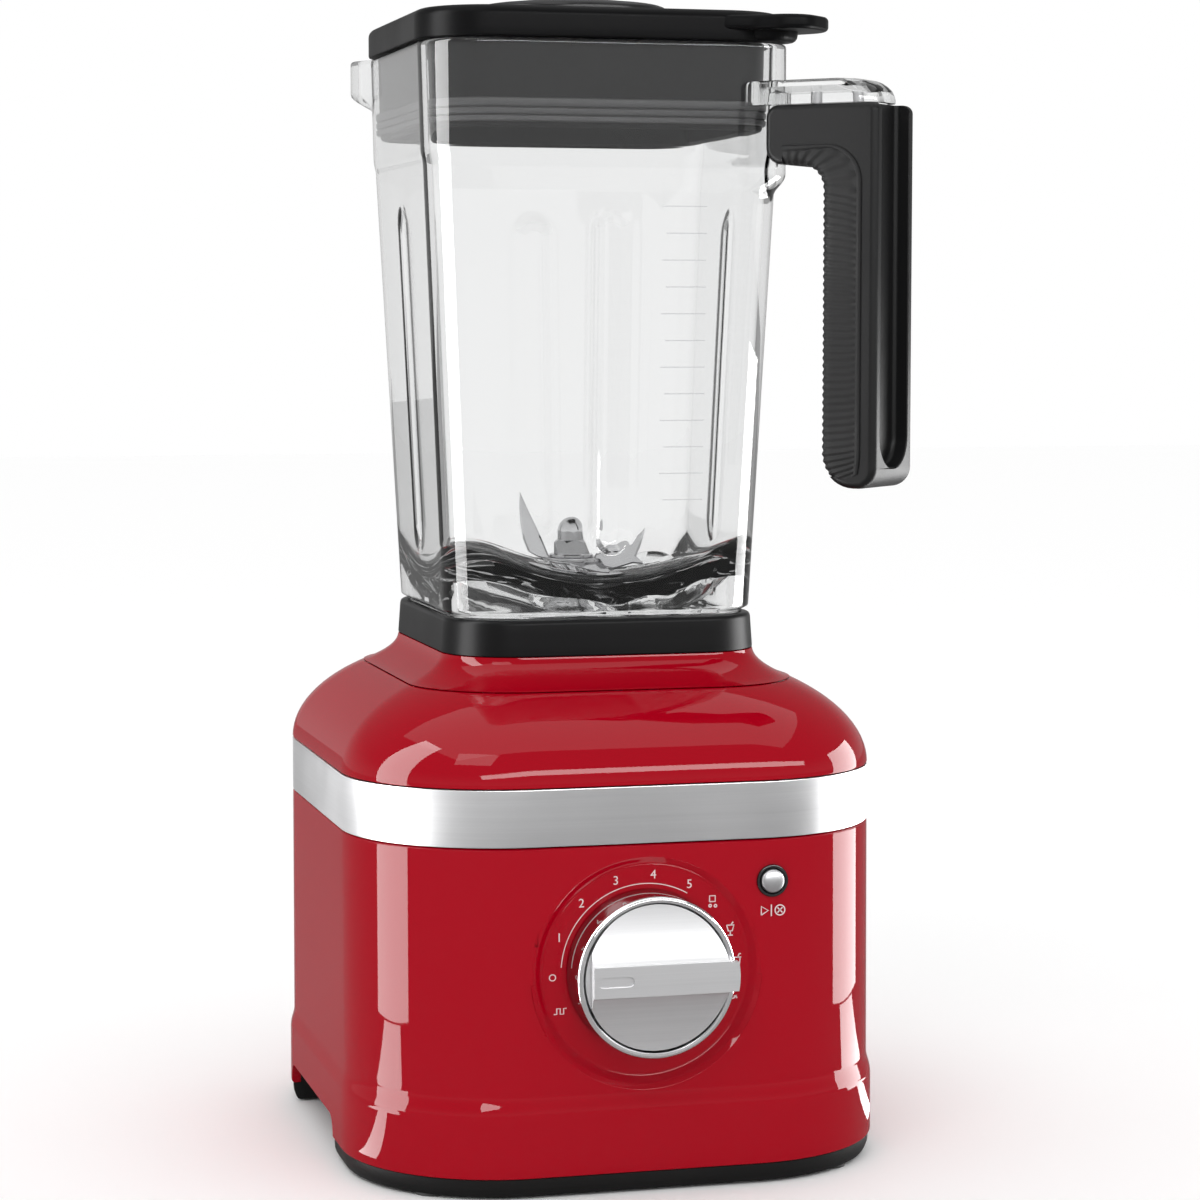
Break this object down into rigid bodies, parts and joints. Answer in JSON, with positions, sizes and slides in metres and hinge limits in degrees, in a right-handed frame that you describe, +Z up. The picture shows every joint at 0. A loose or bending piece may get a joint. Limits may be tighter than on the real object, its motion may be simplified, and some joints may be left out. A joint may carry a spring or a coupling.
{
  "type": "countertop blender",
  "caption": "Countertop blender: red motor base with dial and start button, clear ribbed jar with side handle and blades, black lid with fill cap.",
  "frame": {"origin": "where the drive axis meets the table, at the flat underside of the cord spool within a tolerance of 2 mm", "axes": "+Z up along the drive axis; -Y is the front with the dial; +X is to the right of a person facing the dial; the jar's handle points to +X -Y"},
  "size_m": [0.1991, 0.229, 0.4121],
  "materials": {
    "red_paint": "gloss",
    "band_metal": "brushed",
    "collar_black": "satin",
    "foot_black": "satin",
    "pad_rubber": "matte",
    "screw_steel": "plain",
    "frame_aluminium": "cast",
    "lamination": "plain",
    "copper": "enamelled wire",
    "brass": "plain",
    "carbon": "matte",
    "bearing_steel": "polished",
    "duct_black": "matte",
    "board_green": "satin",
    "switch_black": "matte",
    "bezel_black": "gloss",
    "shaft_steel": "ground",
    "fan_black": "matte",
    "coupler_black": "satin",
    "knob_metal": "brushed",
    "chrome": "polished",
    "button_metal": "satin",
    "clear_jar": "clear",
    "handle_black": "satin",
    "soft_grip": "matte",
    "gasket_grey": "matte",
    "blade_steel": "polished",
    "lid_black": "satin",
    "cap_black": "gloss"
  },
  "bodies": {
    "base": {"motor_housing": "red_paint", "trim_band": "band_metal", "top_housing": "red_paint", "neck_cover": "red_paint", "jar_seat": "collar_black", "bottom_cover": "foot_black", "base_feet": "foot_black", "rubber_pads": "pad_rubber", "cord_inlet": "pad_rubber", "cover_screws": "screw_steel", "case_screws": "screw_steel", "neck_screws": "screw_steel", "seat_screws": "screw_steel", "motor_mounts": "pad_rubber", "motor_screws": "screw_steel", "upper_frame": "frame_aluminium", "lower_frame": "frame_aluminium", "tie_screws": "screw_steel", "motor_stator": "lamination", "stator_windings": "copper", "brush_holders": "brass", "carbon_brushes": "carbon", "upper_bearing": "bearing_steel", "lower_bearing": "bearing_steel", "cooling_duct": "duct_black", "control_board": "board_green", "speed_switch": "switch_black", "button_switch": "switch_black", "button_bezel": "bezel_black"},
    "rotor": {"motor_shaft": "shaft_steel", "armature": "lamination", "armature_windings": "copper", "commutator": "copper", "cooling_fan": "fan_black", "drive_coupler": "coupler_black"},
    "knob": {"speed_knob": "knob_metal", "knob_ring": "chrome", "knob_shaft": "shaft_steel"},
    "button": {"start_button": "button_metal"},
    "jar": {"jar": "clear_jar", "handle_grip": "handle_black", "grip_insert": "soft_grip", "grip_screws": "screw_steel", "bearing_housing": "frame_aluminium", "jar_gasket": "gasket_grey", "retaining_nut": "duct_black", "blade_bearings": "bearing_steel", "shaft_seal": "gasket_grey"},
    "blades": {"blade_shaft": "shaft_steel", "jar_coupler": "coupler_black", "upper_blade": "blade_steel", "lower_blade": "blade_steel", "blade_washer": "blade_steel", "acorn_nut": "blade_steel"},
    "lid": {"lid": "lid_black", "lid_gasket": "soft_grip"},
    "cap": {"fill_cap": "cap_black"}
  },
  "joints": [
    {"name": "motor_spin", "type": "hinge", "parent": "base", "child": "rotor", "pos_m": [0, 0, 0.1], "axis": [0, 0, 1], "continuous": true},
    {"name": "knob_turn", "type": "hinge", "parent": "base", "child": "knob", "pos_m": [0, -0.11, 0.0765], "axis": [0, -1, 0], "range_deg": [-200, 21.5]},
    {"name": "button_press", "type": "slide", "parent": "base", "child": "button", "axis": [0, 1, 0], "range_m": [0, 0.002], "stiffness_N_per_m": 600, "springref_m": -0.0005},
    {"name": "jar_lift", "type": "slide", "parent": "base", "child": "jar", "axis": [0, 0, 1], "range_m": [0, 0.06]},
    {"name": "blade_spin", "type": "hinge", "parent": "jar", "child": "blades", "pos_m": [0, 0, 0.19], "axis": [0, 0, 1], "continuous": true},
    {"name": "lid_lift", "type": "slide", "parent": "jar", "child": "lid", "axis": [0, 0, 1], "range_m": [0, 0.06]},
    {"name": "cap_lift", "type": "slide", "parent": "lid", "child": "cap", "axis": [0, 0, 1], "range_m": [0, 0.045]}
  ],
  "couplings": [
    {"joint": "blade_spin", "follows": "motor_spin", "ratio": 1}
  ]
}
